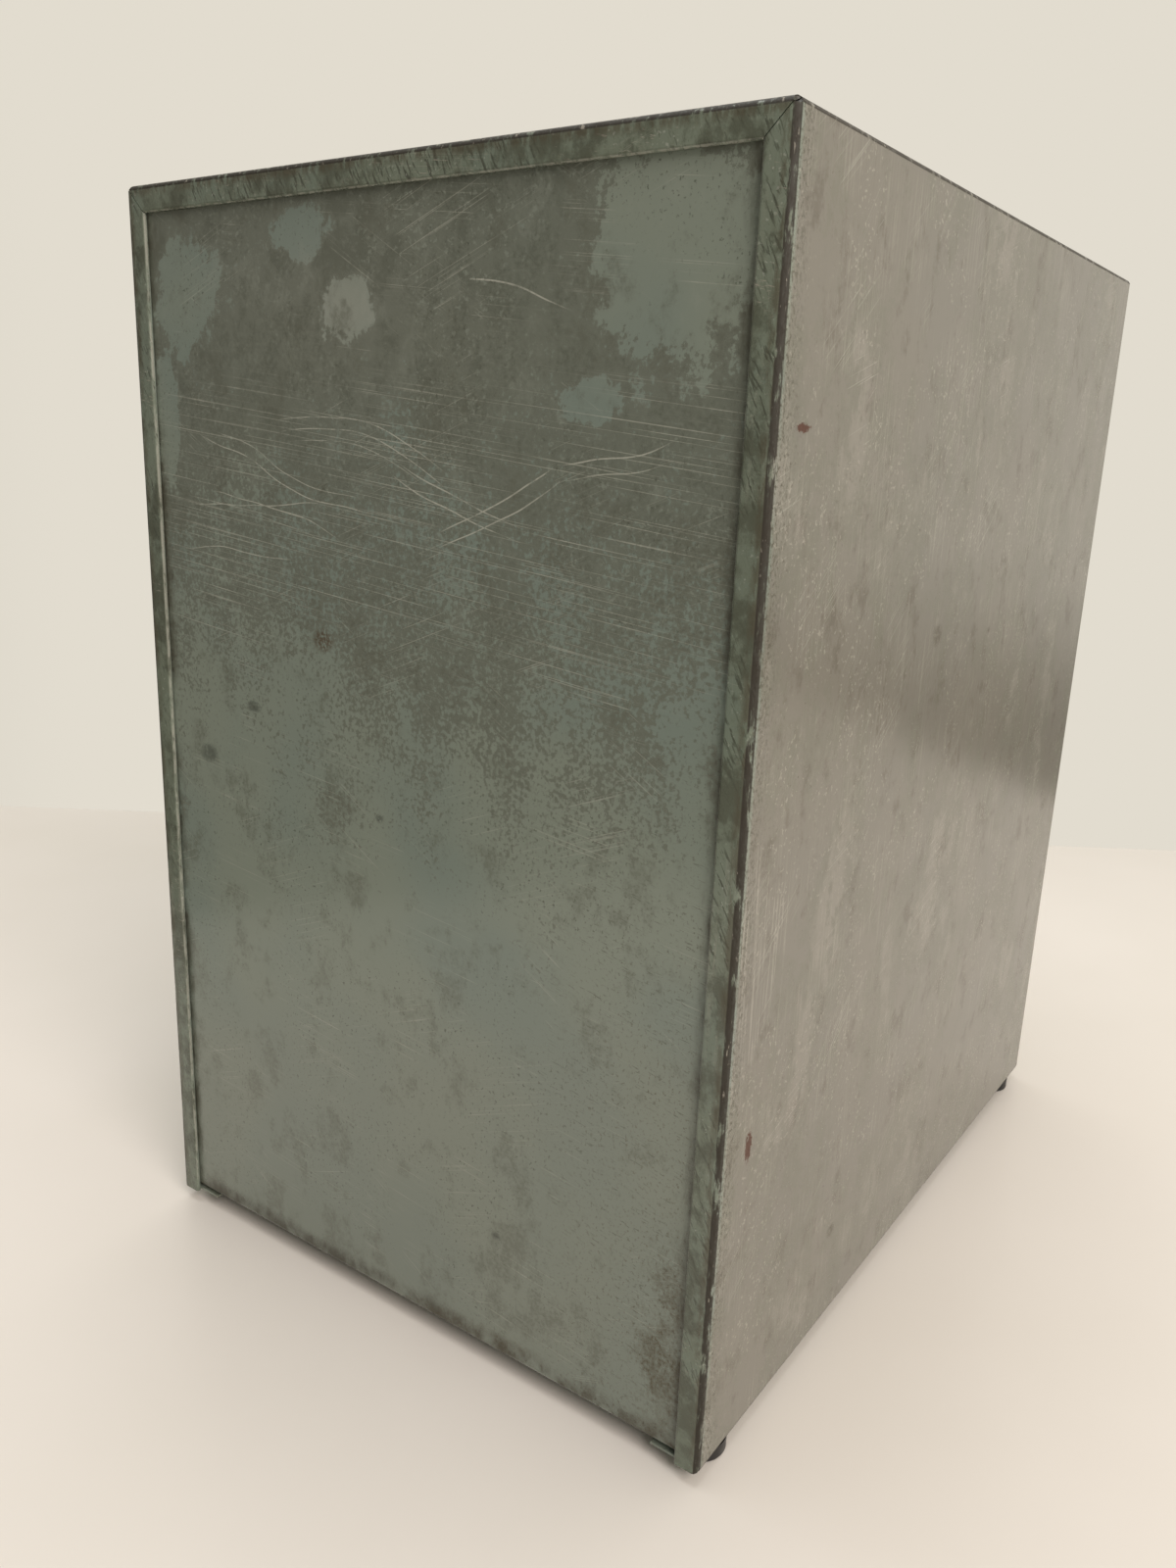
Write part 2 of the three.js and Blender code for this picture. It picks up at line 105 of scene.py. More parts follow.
# adds a shader node; links holds a value or another node's socket for each input
def put(tree, kind, settings=None, links=None, out=0):
    node = tree.nodes.new("ShaderNode" + kind)
    for key, value in (settings or {}).items():
        if key == "stops":
            ramp = node.color_ramp
            while len(ramp.elements) < len(value):
                ramp.elements.new(0.5)
            for element, (at, shade) in zip(ramp.elements, value):
                element.position = at
                element.color = linear(shade)
        else:
            setattr(node, key, value)
    for socket, value in (links or {}).items():
        if isinstance(value, bpy.types.NodeSocket):
            tree.links.new(value, node.inputs[socket])
        else:
            node.inputs[socket].default_value = value
    return node.outputs[out]


def newMaterial(name, shader):
    material = bpy.data.materials.new(name)
    material.use_nodes = True
    tree = material.node_tree
    tree.nodes.clear()
    surface = tree.nodes.new("ShaderNodeBsdfPrincipled")
    for socket, value in shader.items():
        surface.inputs[socket].default_value = value
    output = tree.nodes.new("ShaderNodeOutputMaterial")
    tree.links.new(surface.outputs[0], output.inputs["Surface"])
    return material, tree, surface


# settings that many nodes share
soft = {"interpolation_type": "SMOOTHSTEP"}
multiply = {"operation": "MULTIPLY"}
multiplyAdd = {"operation": "MULTIPLY_ADD"}
subtract = {"operation": "SUBTRACT"}
maximum = {"operation": "MAXIMUM"}
absolute = {"operation": "ABSOLUTE"}
distance = {"operation": "DISTANCE"}
dotProduct = {"operation": "DOT_PRODUCT"}
inColour = {"data_type": "RGBA"}
bySize = {"vector_type": "TEXTURE"}  # a Mapping node that turns first, then divides by a size in mm


# the place in a piece's own space, in mm
def placeInMm(tree):
    return put(tree, "VectorMath", {"operation": "SCALE"},
               {0: put(tree, "TexCoord", out=3), "Scale": 1 / mm})


# the greatest of several fields
def greatest(tree, fields):
    most = fields[0]
    for other in fields[1:]:
        most = put(tree, "Math", maximum, {0: most, 1: other})
    return most


# gives the shader its colour and roughness, and a height in mm as relief
def dress(tree, surface, colour, rough, height):
    tree.links.new(colour, surface.inputs["Base Color"])
    tree.links.new(rough, surface.inputs["Roughness"])
    height = put(tree, "Math", multiply, {0: height, 1: mm})
    tree.links.new(put(tree, "Bump", None, {"Height": height, "Distance": 1, "Strength": 1}),
                   surface.inputs["Normal"])


# alkyd stoving enamel sprayed on sheet steel, decades old: smooth and glossy under a dull olive film of
# grease and dust, which lies in clouds, breaks up into specks, and is crossed by pale hairline scratches
enamelLook = {
    "ior": 1.5,
    "gloss": 0.17,  # roughness of the clean enamel
    "waveDepth": 0.1,  # mm, the sheet's own unevenness
    "peelDepth": 0.002,  # mm, orange peel of the spray
    "paint": ("#78847b", "#80897d"),  # cool and warm
    "paintShift": (0.38, 0.62),  # the broad pattern's values where it is cool and where it is warm
    "scratch": "#b0b2a6",
    "bare": "#9a968a",  # steel where the paint is gone
    # name: size in mm, detail, roughness, and turn in degrees where it is drawn out along the sheet; the
    # hairlines are drawn coarser than real ones, which are too fine to show
    "patterns": {
        "clouds": ((38, 38, 62), 5, 0.6, None),
        "broad": ((85, 85, 85), 2, 0.5, None),
        "mottle": ((10, 10, 13), 6, 0.65, None),
        "specks": ((1.7, 1.7, 1.7), 3, 0.6, None),
        "veil": ((17, 17, 22), 8, 0.72, None),
        "grit": ((1.3, 1.3, 1.6), 3, 0.7, None),
        "pale": ((1.5, 1.5, 1.5), 2, 0.5, None),
        "patchy": ((50, 50, 50), 3, 0.6, None),
        "groups": ((34, 34, 26), 3, 0.6, None),
        "worn": ((2.4, 2.4, 11), 4, 0.7, None),
        "hairFlat": ((90, 0.45, 1), 1, 0.5, 6),
        "hairDown": ((60, 0.45, 1), 1, 0.5, -22),
        "hairUp": ((48, 0.5, 1), 1, 0.5, 31),
        "hatch": ((6, 0.9, 1), 3, 0.6, 62),
        "dashes": ((5, 0.7, 1), 3, 0.6, 10),
        "brushed": ((1.1, 1.1, 46), 3, 0.6, None),
        "wave": ((95, 95, 95), 1, 0.4, None),
        "peel": ((2.2, 2.2, 2.2), 1, 0.4, None),
    },
    "patternShift": (37.3, 11.9, 23.1),  # mm from one pattern to the next, so that no two agree
    "lean": 0.9,  # how steeply drawn-out marks go round a corner
    "bendReach": (2.7, 1.5),  # mm from a plane where the worn bend starts, and where it is full
    "flangeWidth": 10,  # mm
    "borderWidth": 17, "borderHeight": 20, "borderRag": 9,  # mm, the band round the back panel: grime, and painted shade where the panel meets the flanges and the foot of the case
    "spotRag": 2.6, "spotRim": (2.6, 1.9),  # in spot sizes: how ragged, and its rim from none to all
    "arcWander": 22,  # mm
    "arcPitch": 2.3, "arcLine": (0.32, 0.08),  # mm between scratches, and the width of one from none to all
    "arcFade": 0.4,  # share of a bundle's width that is full
    "arcRag": 0.9, "arcEnds": (1.5, 0.8),  # shares of a bundle's reach
    "spots": {},
    "arcs": [],
}


def enamel(name, look):
    look = {**enamelLook, **look}
    material, tree, surface = newMaterial(name, {"IOR": look["ior"]})
    place = placeInMm(tree)
    split = tree.nodes.new("ShaderNodeSeparateXYZ")
    tree.links.new(place, split.inputs[0])
    x, y, z = split.outputs
    field = {"x": x, "y": y, "z": z}
    # a flat pair of coordinates that follows every side of a box, for marks that run along the sheet
    flat = put(tree, "CombineXYZ", None, {
        0: put(tree, "Math", {"operation": "ADD"}, {0: x, 1: y}),
        1: put(tree, "Math", multiplyAdd, {0: y, 1: look["lean"], 2: z})})
    for index, (key, (size, detail, rough, turn)) in enumerate(look["patterns"].items()):
        mapped = put(tree, "Mapping", bySize, {
            "Vector": place if turn is None else flat, "Scale": size,
            "Rotation": (0, 0, math.radians(turn or 0)),
            "Location": tuple(index * shift for shift in look["patternShift"])})
        field[key] = put(tree, "TexNoise", None, {
            "Vector": mapped, "Scale": 1, "Detail": detail, "Roughness": rough})

    # how far in from the case's own planes
    wide = put(tree, "Math", absolute, {0: x})
    gaps = {"sideGap": (halfWide, wide), "backGap": (backEdge, y), "frontGap": (y, frontEdge),
            "topGap": (topEdge, z), "lowGap": (z, lowEdge)}
    near = {}
    start, full = look["bendReach"]
    for key, (outer, inner) in gaps.items():
        field[key] = put(tree, "Math", subtract, {0: outer, 1: inner})
        near[key] = put(tree, "MapRange", soft, {"Value": field[key], "From Min": start, "From Max": full})
    # a bend lies near two planes at once
    field["bend"] = greatest(tree, [
        put(tree, "Math", multiply, {0: near[one], 1: near[other]})
        for one, other in (("sideGap", "backGap"), ("sideGap", "topGap"), ("sideGap", "lowGap"),
                           ("sideGap", "frontGap"), ("backGap", "topGap"), ("frontGap", "topGap"))])
    # how far out from the inner edge of the flange round the back
    field["flange"] = greatest(tree, [
        put(tree, "Math", subtract, {0: wide, 1: halfWide - look["flangeWidth"]}),
        put(tree, "Math", subtract, {0: z, 1: topEdge - look["flangeWidth"]})])
    # how near the edge of the back panel, along the flange and the foot of the case
    border = greatest(tree, [
        put(tree, "Math", subtract, {0: wide, 1: halfWide - look["borderWidth"]}),
        put(tree, "Math", subtract, {0: look["borderHeight"], 1: z})])
    field["border"] = put(tree, "Math", multiplyAdd, {0: field["worn"], 1: look["borderRag"], 2: border})

    # round spots with ragged rims: 1 inside, 0 outside
    start, full = look["spotRim"]
    for key, (rag, spots) in look["spots"].items():
        discs = []
        for centre, size in spots:
            mapped = put(tree, "Mapping", bySize, {"Vector": place, "Location": centre, "Scale": size})
            reach = put(tree, "VectorMath", {"operation": "LENGTH"}, {0: mapped}, out=1)
            reach = put(tree, "Math", multiplyAdd, {0: field[rag], 1: look["spotRag"], 2: reach})
            discs.append(put(tree, "MapRange", soft, {"Value": reach, "From Min": start, "From Max": full}))
        field[key] = greatest(tree, discs)

    # long scratches on arcs, in bundles of lines a few mm apart
    bundles = []
    for centre, radius, around, reach, width in look["arcs"]:
        out = put(tree, "VectorMath", distance, {0: place, 1: centre}, out=1)
        out = put(tree, "Math", multiplyAdd, {0: field["broad"], 1: look["arcWander"], 2: out})
        lines = put(tree, "Math", {"operation": "PINGPONG"}, {0: out, 1: look["arcPitch"]})
        lines = put(tree, "MapRange", soft, {
            "Value": lines, "From Min": look["arcLine"][0], "From Max": look["arcLine"][1]})
        out = put(tree, "Math", subtract, {0: out, 1: radius + look["arcWander"] / 2})
        out = put(tree, "Math", absolute, {0: out})
        band = put(tree, "MapRange", soft, {
            "Value": out, "From Min": width, "From Max": width * look["arcFade"]})
        there = put(tree, "VectorMath", distance, {0: place, 1: around}, out=1)
        there = put(tree, "Math", multiplyAdd, {0: field["mottle"], 1: reach * look["arcRag"], 2: there})
        there = put(tree, "MapRange", soft, {
            "Value": there, "From Min": reach * look["arcEnds"][0], "From Max": reach * look["arcEnds"][1]})
        there = put(tree, "Math", multiply, {0: band, 1: there})
        bundles.append(put(tree, "Math", multiply, {0: lines, 1: there}))
    if bundles:
        field["arcs"] = greatest(tree, bundles)

    # weighted sums of fields less a level; the film is 0 at its rim
    for key, (level, weights) in look["sums"].items():
        total = -level
        for part, weight in weights:
            total = put(tree, "Math", multiplyAdd, {0: field[part], 1: weight, 2: total})
        field[key] = total

    start, full = look["paintShift"]
    warm = put(tree, "MapRange", soft, {"Value": field["broad"], "From Min": start, "From Max": full})
    colour = put(tree, "Mix", inColour, {
        0: warm, 6: linear(look["paint"][0]), 7: linear(look["paint"][1])}, out=2)
    rough = look["gloss"]
    wave = put(tree, "Math", multiply, {0: field["wave"], 1: look["waveDepth"]})
    height = put(tree, "Math", multiplyAdd, {0: field["peel"], 1: look["peelDepth"], 2: wave})
    # each layer covers what is under it, where all its fields let it
    for shade, cover, dullness, lift, where in look["layers"]:
        share = cover
        for key, low, high in where:
            step = put(tree, "MapRange", soft, {"Value": field[key], "From Min": low, "From Max": high})
            share = put(tree, "Math", multiply, {0: share, 1: step})
        shade = linear(look.get(shade, shade))
        colour = put(tree, "Mix", inColour, {0: share, 6: colour, 7: shade}, out=2)
        rough = put(tree, "Math", multiplyAdd, {0: share, 1: dullness, 2: rough})
        if lift:
            height = put(tree, "Math", multiplyAdd, {0: share, 1: lift, 2: height})
    dress(tree, surface, colour, rough, height)
    return material


# layers: shade, how much it covers at most, roughness added, height in mm, and its fields from none to all
hairlines = [
    ("scratch", 0.42, 0.1, -0.004, [("hairFlat", 0.64, 0.7), ("groups", 0.5, 0.62)]),
    ("scratch", 0.34, 0.1, -0.004, [("hairDown", 0.65, 0.71), ("patchy", 0.52, 0.62)]),
    ("scratch", 0.34, 0.1, -0.004, [("hairUp", 0.66, 0.72), ("clouds", 0.55, 0.64)]),
]
edgeWear = [
    ("#241e14", 0.92, 0.35, -0.01, [("bend", 0.35, 0.9), ("worn", 0.34, 0.46)]),
    ("bare", 0.7, 0.1, -0.01, [("bend", 0.6, 0.95), ("worn", 0.63, 0.68)]),
]
# the back panel: a dull film down to a ragged limit, clean patches in the top corners, scratches in
# bundles, and a painted reflection of the floor lightening its foot
backLook = {
    "sums": {
        "film": (6.2, [("z", 1 / 120), ("x", -0.0002), ("clouds", 2.3), ("mottle", 1.9), ("specks", 3.6),
                       ("cleanPatch", -2.4), ("dirtyPatch", 0.25)]),
        # low: larger towards the bottom and towards -x, where a painted reflection of the floor lightens
        # the panel
        "low": (0, [("z", -1 / 60), ("x", -0.0048)]),
    },
    "spots": {
        "cleanPatch": ("veil", [((-106, backY, 402), (33, 60, 30)), ((110, backY, 399), (15, 60, 22)),
                                ((46, backY, 416), (15, 60, 8)), ((124, backY, 352), (6, 60, 22)),
                                ((-78, backY, 362), (10, 60, 7)), ((27, backY, 391), (11, 60, 11))]),
        "dirtyPatch": ("mottle", [((-15, backY, 262), (52, 60, 34)), ((-60, backY, 240), (34, 60, 22))]),
        "rustSpot": ("grit", [((40, backY, 276), (6, 9, 5))]),
        "corner": ("veil", [((-122, backY, 40), (14, 60, 58)), ((-60, backY, 10), (70, 60, 8))]),
        "blotch": ("grit", [((109, backY, 221), (5, 9, 4)), ((12, backY, 213), (2, 9, 1.6)),
                            ((-47, backY, 60), (2.2, 9, 1.6)), ((80, backY, 245), (4, 9, 2.4))]),
    },
    # centre of the arc, its radius, where on it the bundle lies, its reach along the arc, its width
    "arcs": [
        ((52, backY, 190), 160, (22, backY, 346), 48, 8),
        ((10, backY, 560), 232, (62, backY, 328), 58, 6),
        ((-60, backY, 440), 116, (-22, backY, 330), 34, 5),
        ((130, backY, 60), 268, (66, backY, 318), 40, 4),
        ((75, backY, -600), 921, (76, backY, 321), 46, 3),
        ((100, backY, 1200), 897, (84, backY, 303), 40, 3),
        ((40, backY, 480), 170, (-40, backY, 330), 34, 6),
        ((-60, backY, 520), 175, (-85, backY, 347), 26, 4),
        ((-10, backY, 250), 150, (-48, backY, 395), 26, 3),
    ],
    "layers": [
        # painted reflection: a lighter coat towards the foot of the back panel, standing in for the floor
        # it mirrors
        ("#80857a", 0.5, 0.03, 0, [("low", -3.0, -1.6)]),
        ("#6a6f64", 0.9, 0.1, 0.002, [("film", -0.22, 0.3)]),
        ("#585d52", 0.6, 0.05, 0.001, [("film", 0.3, 1.5), ("mottle", 0.42, 0.6)]),
        ("#5d6054", 0.35, 0.08, 0, [("veil", 0.5, 0.66)]),
        ("#868e83", 0.5, -0.03, 0, [("pale", 0.6, 0.66), ("patchy", 0.4, 0.56), ("film", -0.1, 0.4)]),
        ("#8a9186", 0.25, -0.03, 0, [("veil", 0.44, 0.34), ("z", 240, 330)]),
        *hairlines,
        ("scratch", 0.4, 0.1, -0.003, [("hairFlat", 0.61, 0.68), ("z", 265, 300), ("z", 376, 350)]),
        ("scratch", 0.8, 0.1, -0.005, [("arcs", 0.1, 0.8), ("veil", 0.34, 0.5)]),
        ("#4c5044", 0.7, 0.1, 0, [("grit", 0.58, 0.66), ("patchy", 0.38, 0.56)]),
        ("#5f6256", 0.3, 0.06, 0, [("veil", 0.54, 0.62), ("specks", 0.44, 0.56)]),
        ("#55503f", 0.7, 0.15, 0, [("grit", 0.56, 0.66), ("x", -40, -120), ("z", 260, 120)]),
        ("#4c4b3e", 0.55, 0.1, 0, [("dashes", 0.62, 0.7), ("x", -20, -110), ("z", 300, 180)]),
        # grime and painted shade: a dark band round the back panel along the flanges and the foot of the
        # case
        ("#3c382b", 0.8, 0.3, 0.01, [("border", 6, 13), ("veil", 0.35, 0.6)]),
        ("#4d4530", 0.6, 0.25, 0.008, [("corner", 0, 1), ("veil", 0.42, 0.6), ("grit", 0.36, 0.56)]),
        ("#4b3a26", 0.75, 0.3, 0, [("rustSpot", 0, 1), ("grit", 0.44, 0.54)]),
        ("#43483f", 0.7, 0.2, 0, [("blotch", 0, 1), ("grit", 0.38, 0.5)]),
    ],
}
# the folded wrapper: greyer than the back, its sides warmed by a painted reflection of the warm room,
# streaked downwards, its bends worn
caseLook = {
    "sums": {"film": (2.5, [("clouds", 2.4), ("mottle", 1.8), ("specks", 0.9)])},
    "spots": {
        "chip": ("grit", [((-halfWide, 176, 356), (3, 4.6, 1.3)), ((-halfWide, 174, 126), (3, 2.2, 5.6)),
                          ((halfWide, 92, 318), (3, 2.5, 1.4)), ((halfWide, -120, 64), (3, 1.4, 3.2))]),
        "blotch": ("grit", [((-halfWide, 45, 284), (3, 5, 4.5)), ((-halfWide, -18, 280), (3, 2, 1.4)),
                            ((halfWide, -30, 300), (3, 5, 3)), ((-halfWide, 92, 48), (3, 4, 3))]),
        "brushPatch": ("veil", [((-halfWide, 190, 190), (9, 26, 40)), ((halfWide, 180, 150), (9, 30, 40))]),
    },
    "layers": [
        # painted reflection: a warm grey on the sides, standing in for the warm wall they mirror
        ("#746d64", 0.8, 0.02, 0, [("sideGap", 1.2, 0.5), ("backGap", 2.0, 4.5)]),
        ("#7c766a", 0.45, 0.02, 0, [("topGap", 1.2, 0.5)]),
        ("#6a6c5d", 0.42, 0.1, 0.002, [("film", -0.15, 0.25)]),
        ("#564f43", 0.55, 0.08, 0, [("veil", 0.52, 0.66)]),
        # pale warm clouds on the sides: partly a cloudy paint tone, partly a painted reflection of the room
        ("#8f8a82", 0.5, 0, 0, [("clouds", 0.54, 0.66), ("sideGap", 1.2, 0.5), ("mottle", 0.4, 0.52)]),
        ("#a7a598", 0.22, 0.02, 0, [("brushed", 0.5, 0.66), ("groups", 0.42, 0.6)]),
        ("#5f5c4d", 0.28, 0.05, 0, [("brushed", 0.42, 0.32), ("patchy", 0.45, 0.6)]),
        ("#adaa9e", 0.4, 0.02, 0, [("pale", 0.62, 0.68), ("patchy", 0.44, 0.56)]),
        ("#aaa69c", 0.35, 0.1, -0.002, [("brushPatch", 0, 1), ("brushed", 0.5, 0.62)]),
        *hairlines,
        ("#453d30", 0.75, 0.12, 0, [("grit", 0.61, 0.68), ("clouds", 0.42, 0.56)]),
        ("#4c4a3c", 0.75, 0.15, 0, [("grit", 0.5, 0.6), ("backGap", 16, 3), ("sideGap", 1.2, 0.5)]),
        # the flange round the back: cooler, scuffed across, its inner edge rubbed bright
        ("#66705f", 0.55, 0, 0, [("backGap", 1.2, 0.8)]),
        ("#3f4237", 0.8, 0.12, 0, [("backGap", 1.2, 0.8), ("hatch", 0.55, 0.62), ("groups", 0.4, 0.54)]),
        ("#4a4e41", 0.7, 0.1, 0, [("backGap", 1.2, 0.8), ("veil", 0.46, 0.58)]),
        ("#9aa096", 0.5, 0.05, 0, [("backGap", 1.2, 0.8), ("pale", 0.62, 0.68), ("veil", 0.5, 0.42)]),
        ("bare", 0.7, 0.05, -0.003, [("backGap", 1.2, 0.8), ("dashes", 0.62, 0.7), ("patchy", 0.5, 0.6)]),
        ("#a3a498", 0.6, 0.05, -0.004, [("backGap", 1.4, 1.0), ("flange", 0.7, 0.2), ("worn", 0.4, 0.56)]),
        ("#4b4434", 0.6, 0.2, 0, [("backGap", 1.2, 0.8), ("flange", 4.5, 7.2), ("worn", 0.4, 0.56)]),
        *edgeWear,
        ("#4d2a1a", 0.95, 0.35, -0.04, [("chip", 0.2, 0.8)]),
        ("#4a4334", 0.7, 0.2, 0, [("blotch", 0, 1), ("grit", 0.42, 0.52)]),
    ],
}
# the drawers' fronts: the same paint, less worn
frontLook = {
    "sums": {"film": (2.6, [("clouds", 2.4), ("mottle", 1.8), ("specks", 0.9)])},
    "layers": [
        ("#6a6c5d", 0.5, 0.1, 0.002, [("film", -0.15, 0.25)]),
        ("#63604f", 0.4, 0.08, 0, [("veil", 0.5, 0.7)]),
        ("#adaa9e", 0.3, 0.02, 0, [("pale", 0.64, 0.7), ("patchy", 0.46, 0.58)]),
        *hairlines,
        ("#4f4b3d", 0.7, 0.12, 0, [("grit", 0.63, 0.7), ("clouds", 0.5, 0.62)]),
    ],
}
# inside the case and the drawers: a duller, cleaner coat
insideLook = {
    "gloss": 0.3,
    "sums": {"film": (2.9, [("clouds", 2.4), ("mottle", 1.8), ("specks", 0.9)])},
    "layers": [
        ("#6d6f62", 0.3, 0.08, 0, [("film", -0.15, 0.25)]),
        ("#6b6858", 0.3, 0.08, 0, [("veil", 0.52, 0.72)]),
        ("scratch", 0.25, 0.1, -0.003, [("hairFlat", 0.65, 0.71), ("groups", 0.5, 0.62)]),
        ("#4f4b3d", 0.5, 0.1, 0, [("grit", 0.66, 0.72), ("clouds", 0.52, 0.62)]),
    ],
}

# plated pressed steel: a grained metal with soft clouds
platedLook = {
    "cloudDetail": 5, "cloudRough": 0.6, "grainDetail": 3,
    "streaks": 0.35, "streakShades": [(0.3, "#9a9a98"), (0.7, "#ffffff")],
    "grainSpan": (0.3, 0.7),  # the grain's lowest and highest values
}
# zinc-plated steel, electroplated and passivated: dull grey with faint crystals and storage stains
zincLook = {
    "cloudSize": 14, "grain": (0.6, 18, 0.6), "depth": 0.01,  # mm
    "rough": (0.3, 0.48), "shades": [(0.3, "#8b8983"), (0.55, "#a9a8a2"), (0.75, "#8f8a7c")],
}
# nickel plate on pressed steel, polished then tarnished: warm silver, duller in places
nickelLook = {
    "cloudSize": 9, "grain": (16, 0.5, 0.5), "depth": 0.004,  # mm
    "rough": (0.16, 0.34), "shades": [(0.3, "#b5ae9b"), (0.55, "#cfc9ba"), (0.78, "#988d75")],
}


def platedSteel(name, look):
    look = {**platedLook, **look}
    material, tree, surface = newMaterial(name, {"Metallic": 1.0})
    place = placeInMm(tree)
    cloud = put(tree, "TexNoise", None, {
        "Vector": place, "Scale": 1 / look["cloudSize"], "Detail": look["cloudDetail"],
        "Roughness": look["cloudRough"]})
    drawn = put(tree, "Mapping", bySize, {"Vector": place, "Scale": look["grain"]})
    grain = put(tree, "TexNoise", None, {"Vector": drawn, "Scale": 1, "Detail": look["grainDetail"]})
    colour = put(tree, "ValToRGB", {"stops": look["shades"]}, {0: cloud})
    streak = put(tree, "ValToRGB", {"stops": look["streakShades"]}, {0: grain})
    colour = put(tree, "Mix", {**inColour, "blend_type": "MULTIPLY"},
                 {0: look["streaks"], 6: colour, 7: streak}, out=2)
    rough = put(tree, "MapRange", None, {
        "Value": grain, "From Min": look["grainSpan"][0], "From Max": look["grainSpan"][1],
        "To Min": look["rough"][0], "To Max": look["rough"][1]})
    dress(tree, surface, colour, rough, put(tree, "Math", multiply, {0: grain, 1: look["depth"]}))
    return material


# natural rubber, compression-moulded, black: slightly glossy, greyed by dust
rubberLook = {
    "ior": 1.52, "black": "#0d0d0d", "dust": "#3a3833", "rough": (0.28, 0.5),
    "dustSize": 3, "grainSize": 0.7, "depth": 0.012,  # mm
    "dustSpan": (0.5, 0.75), "dustMost": 0.35, "roughSpan": (0.35, 0.65),  # values of the dust pattern
}


def mouldedRubber(name, look):
    material, tree, surface = newMaterial(name, {"IOR": look["ior"]})
    place = placeInMm(tree)
    dust = put(tree, "TexNoise", None, {
        "Vector": place, "Scale": 1 / look["dustSize"], "Detail": 6, "Roughness": 0.7})
    grain = put(tree, "TexNoise", None, {"Vector": place, "Scale": 1 / look["grainSize"], "Detail": 2})
    share = put(tree, "MapRange", None, {
        "Value": dust, "From Min": look["dustSpan"][0], "From Max": look["dustSpan"][1],
        "To Max": look["dustMost"]})
    colour = put(tree, "Mix", inColour, {
        0: share, 6: linear(look["black"]), 7: linear(look["dust"])}, out=2)
    rough = put(tree, "MapRange", None, {
        "Value": dust, "From Min": look["roughSpan"][0], "From Max": look["roughSpan"][1],
        "To Min": look["rough"][0], "To Max": look["rough"][1]})
    dress(tree, surface, colour, rough, put(tree, "Math", multiply, {0: grain, 1: look["depth"]}))
    return material


# uncoated manila card, calendered: matt and fibrous, yellowed in clouds
cardLook = {
    "ior": 1.45, "paper": ("#d8cba6", "#c9b98c"), "fibre": "#a8966a", "rough": (0.75, 0.92),
    "ageSize": 16, "fibreSize": (2.6, 0.3, 0.35), "depth": 0.012,  # mm
    "ageSpan": (0.35, 0.65), "fibreSpan": (0.58, 0.75), "fibreMost": 0.5,  # values of the patterns
}


def manilaCard(name, look):
    material, tree, surface = newMaterial(name, {"IOR": look["ior"]})
    place = placeInMm(tree)
    age = put(tree, "TexNoise", None, {
        "Vector": place, "Scale": 1 / look["ageSize"], "Detail": 5, "Roughness": 0.6})
    drawn = put(tree, "Mapping", bySize, {"Vector": place, "Scale": look["fibreSize"]})
    fibre = put(tree, "TexNoise", None, {"Vector": drawn, "Scale": 1, "Detail": 3})
    aged = put(tree, "MapRange", None, {
        "Value": age, "From Min": look["ageSpan"][0], "From Max": look["ageSpan"][1]})
    colour = put(tree, "Mix", inColour, {
        0: aged, 6: linear(look["paper"][0]), 7: linear(look["paper"][1])}, out=2)
    share = put(tree, "MapRange", None, {
        "Value": fibre, "From Min": look["fibreSpan"][0], "From Max": look["fibreSpan"][1],
        "To Max": look["fibreMost"]})
    colour = put(tree, "Mix", inColour, {0: share, 6: colour, 7: linear(look["fibre"])}, out=2)
    rough = put(tree, "MapRange", None, {
        "Value": fibre, "To Min": look["rough"][0], "To Max": look["rough"][1]})
    dress(tree, surface, colour, rough, put(tree, "Math", multiply, {0: fibre, 1: look["depth"]}))
    return material


backEnamel = enamel("back_enamel", backLook)
caseEnamel = enamel("case_enamel", caseLook)
frontEnamel = enamel("front_enamel", frontLook)
insideEnamel = enamel("inside_enamel", insideLook)
zincPlate = platedSteel("zinc_plate", zincLook)
nickelPlate = platedSteel("nickel_plate", nickelLook)
blackRubber = mouldedRubber("black_rubber", rubberLook)
cardPaper = manilaCard("manila_card", cardLook)
print("made the finishes")


def only(piece):
    bpy.ops.object.select_all(action="DESELECT")
    piece.select_set(True)
    bpy.context.view_layer.objects.active = piece


def finish(piece, name, material, body, slot, *replaced):
    piece.name = name
    piece.data.name = name
    piece.data.materials.clear()
    piece.data.materials.append(material)
    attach(piece, body)
    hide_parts(*replaced)


weldLook = {"join": 0.002, "flat": 0.5, "soft": 32, "weight": 100}  # mm, degrees, degrees, percent


# a CAD piece as a working mesh: welded, its flat faces whole again, soft across bends only
def welded(node):
    piece = nodes[node].copy()
    piece.data = nodes[node].data.copy()
    for key in list(piece.keys()):
        if key.startswith("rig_"):
            del piece[key]
    piece.parent = None
    scene.collection.objects.link(piece)
    only(piece)
    bpy.ops.object.mode_set(mode="EDIT")
    bpy.ops.mesh.select_all(action="SELECT")
    bpy.ops.mesh.remove_doubles(threshold=weldLook["join"] * mm)
    bpy.ops.mesh.dissolve_limited(angle_limit=math.radians(weldLook["flat"]))
    bpy.ops.object.mode_set(mode="OBJECT")
    if piece.data.has_custom_normals:
        bpy.ops.mesh.customdata_custom_splitnormals_clear()
    bpy.ops.object.shade_smooth_by_angle(angle=math.radians(weldLook["soft"]))
    weigh = piece.modifiers.new("weigh", "WEIGHTED_NORMAL")
    weigh.keep_sharp = True
    weigh.weight = weldLook["weight"]
    bpy.ops.object.modifier_apply(modifier=weigh.name)
    return piece


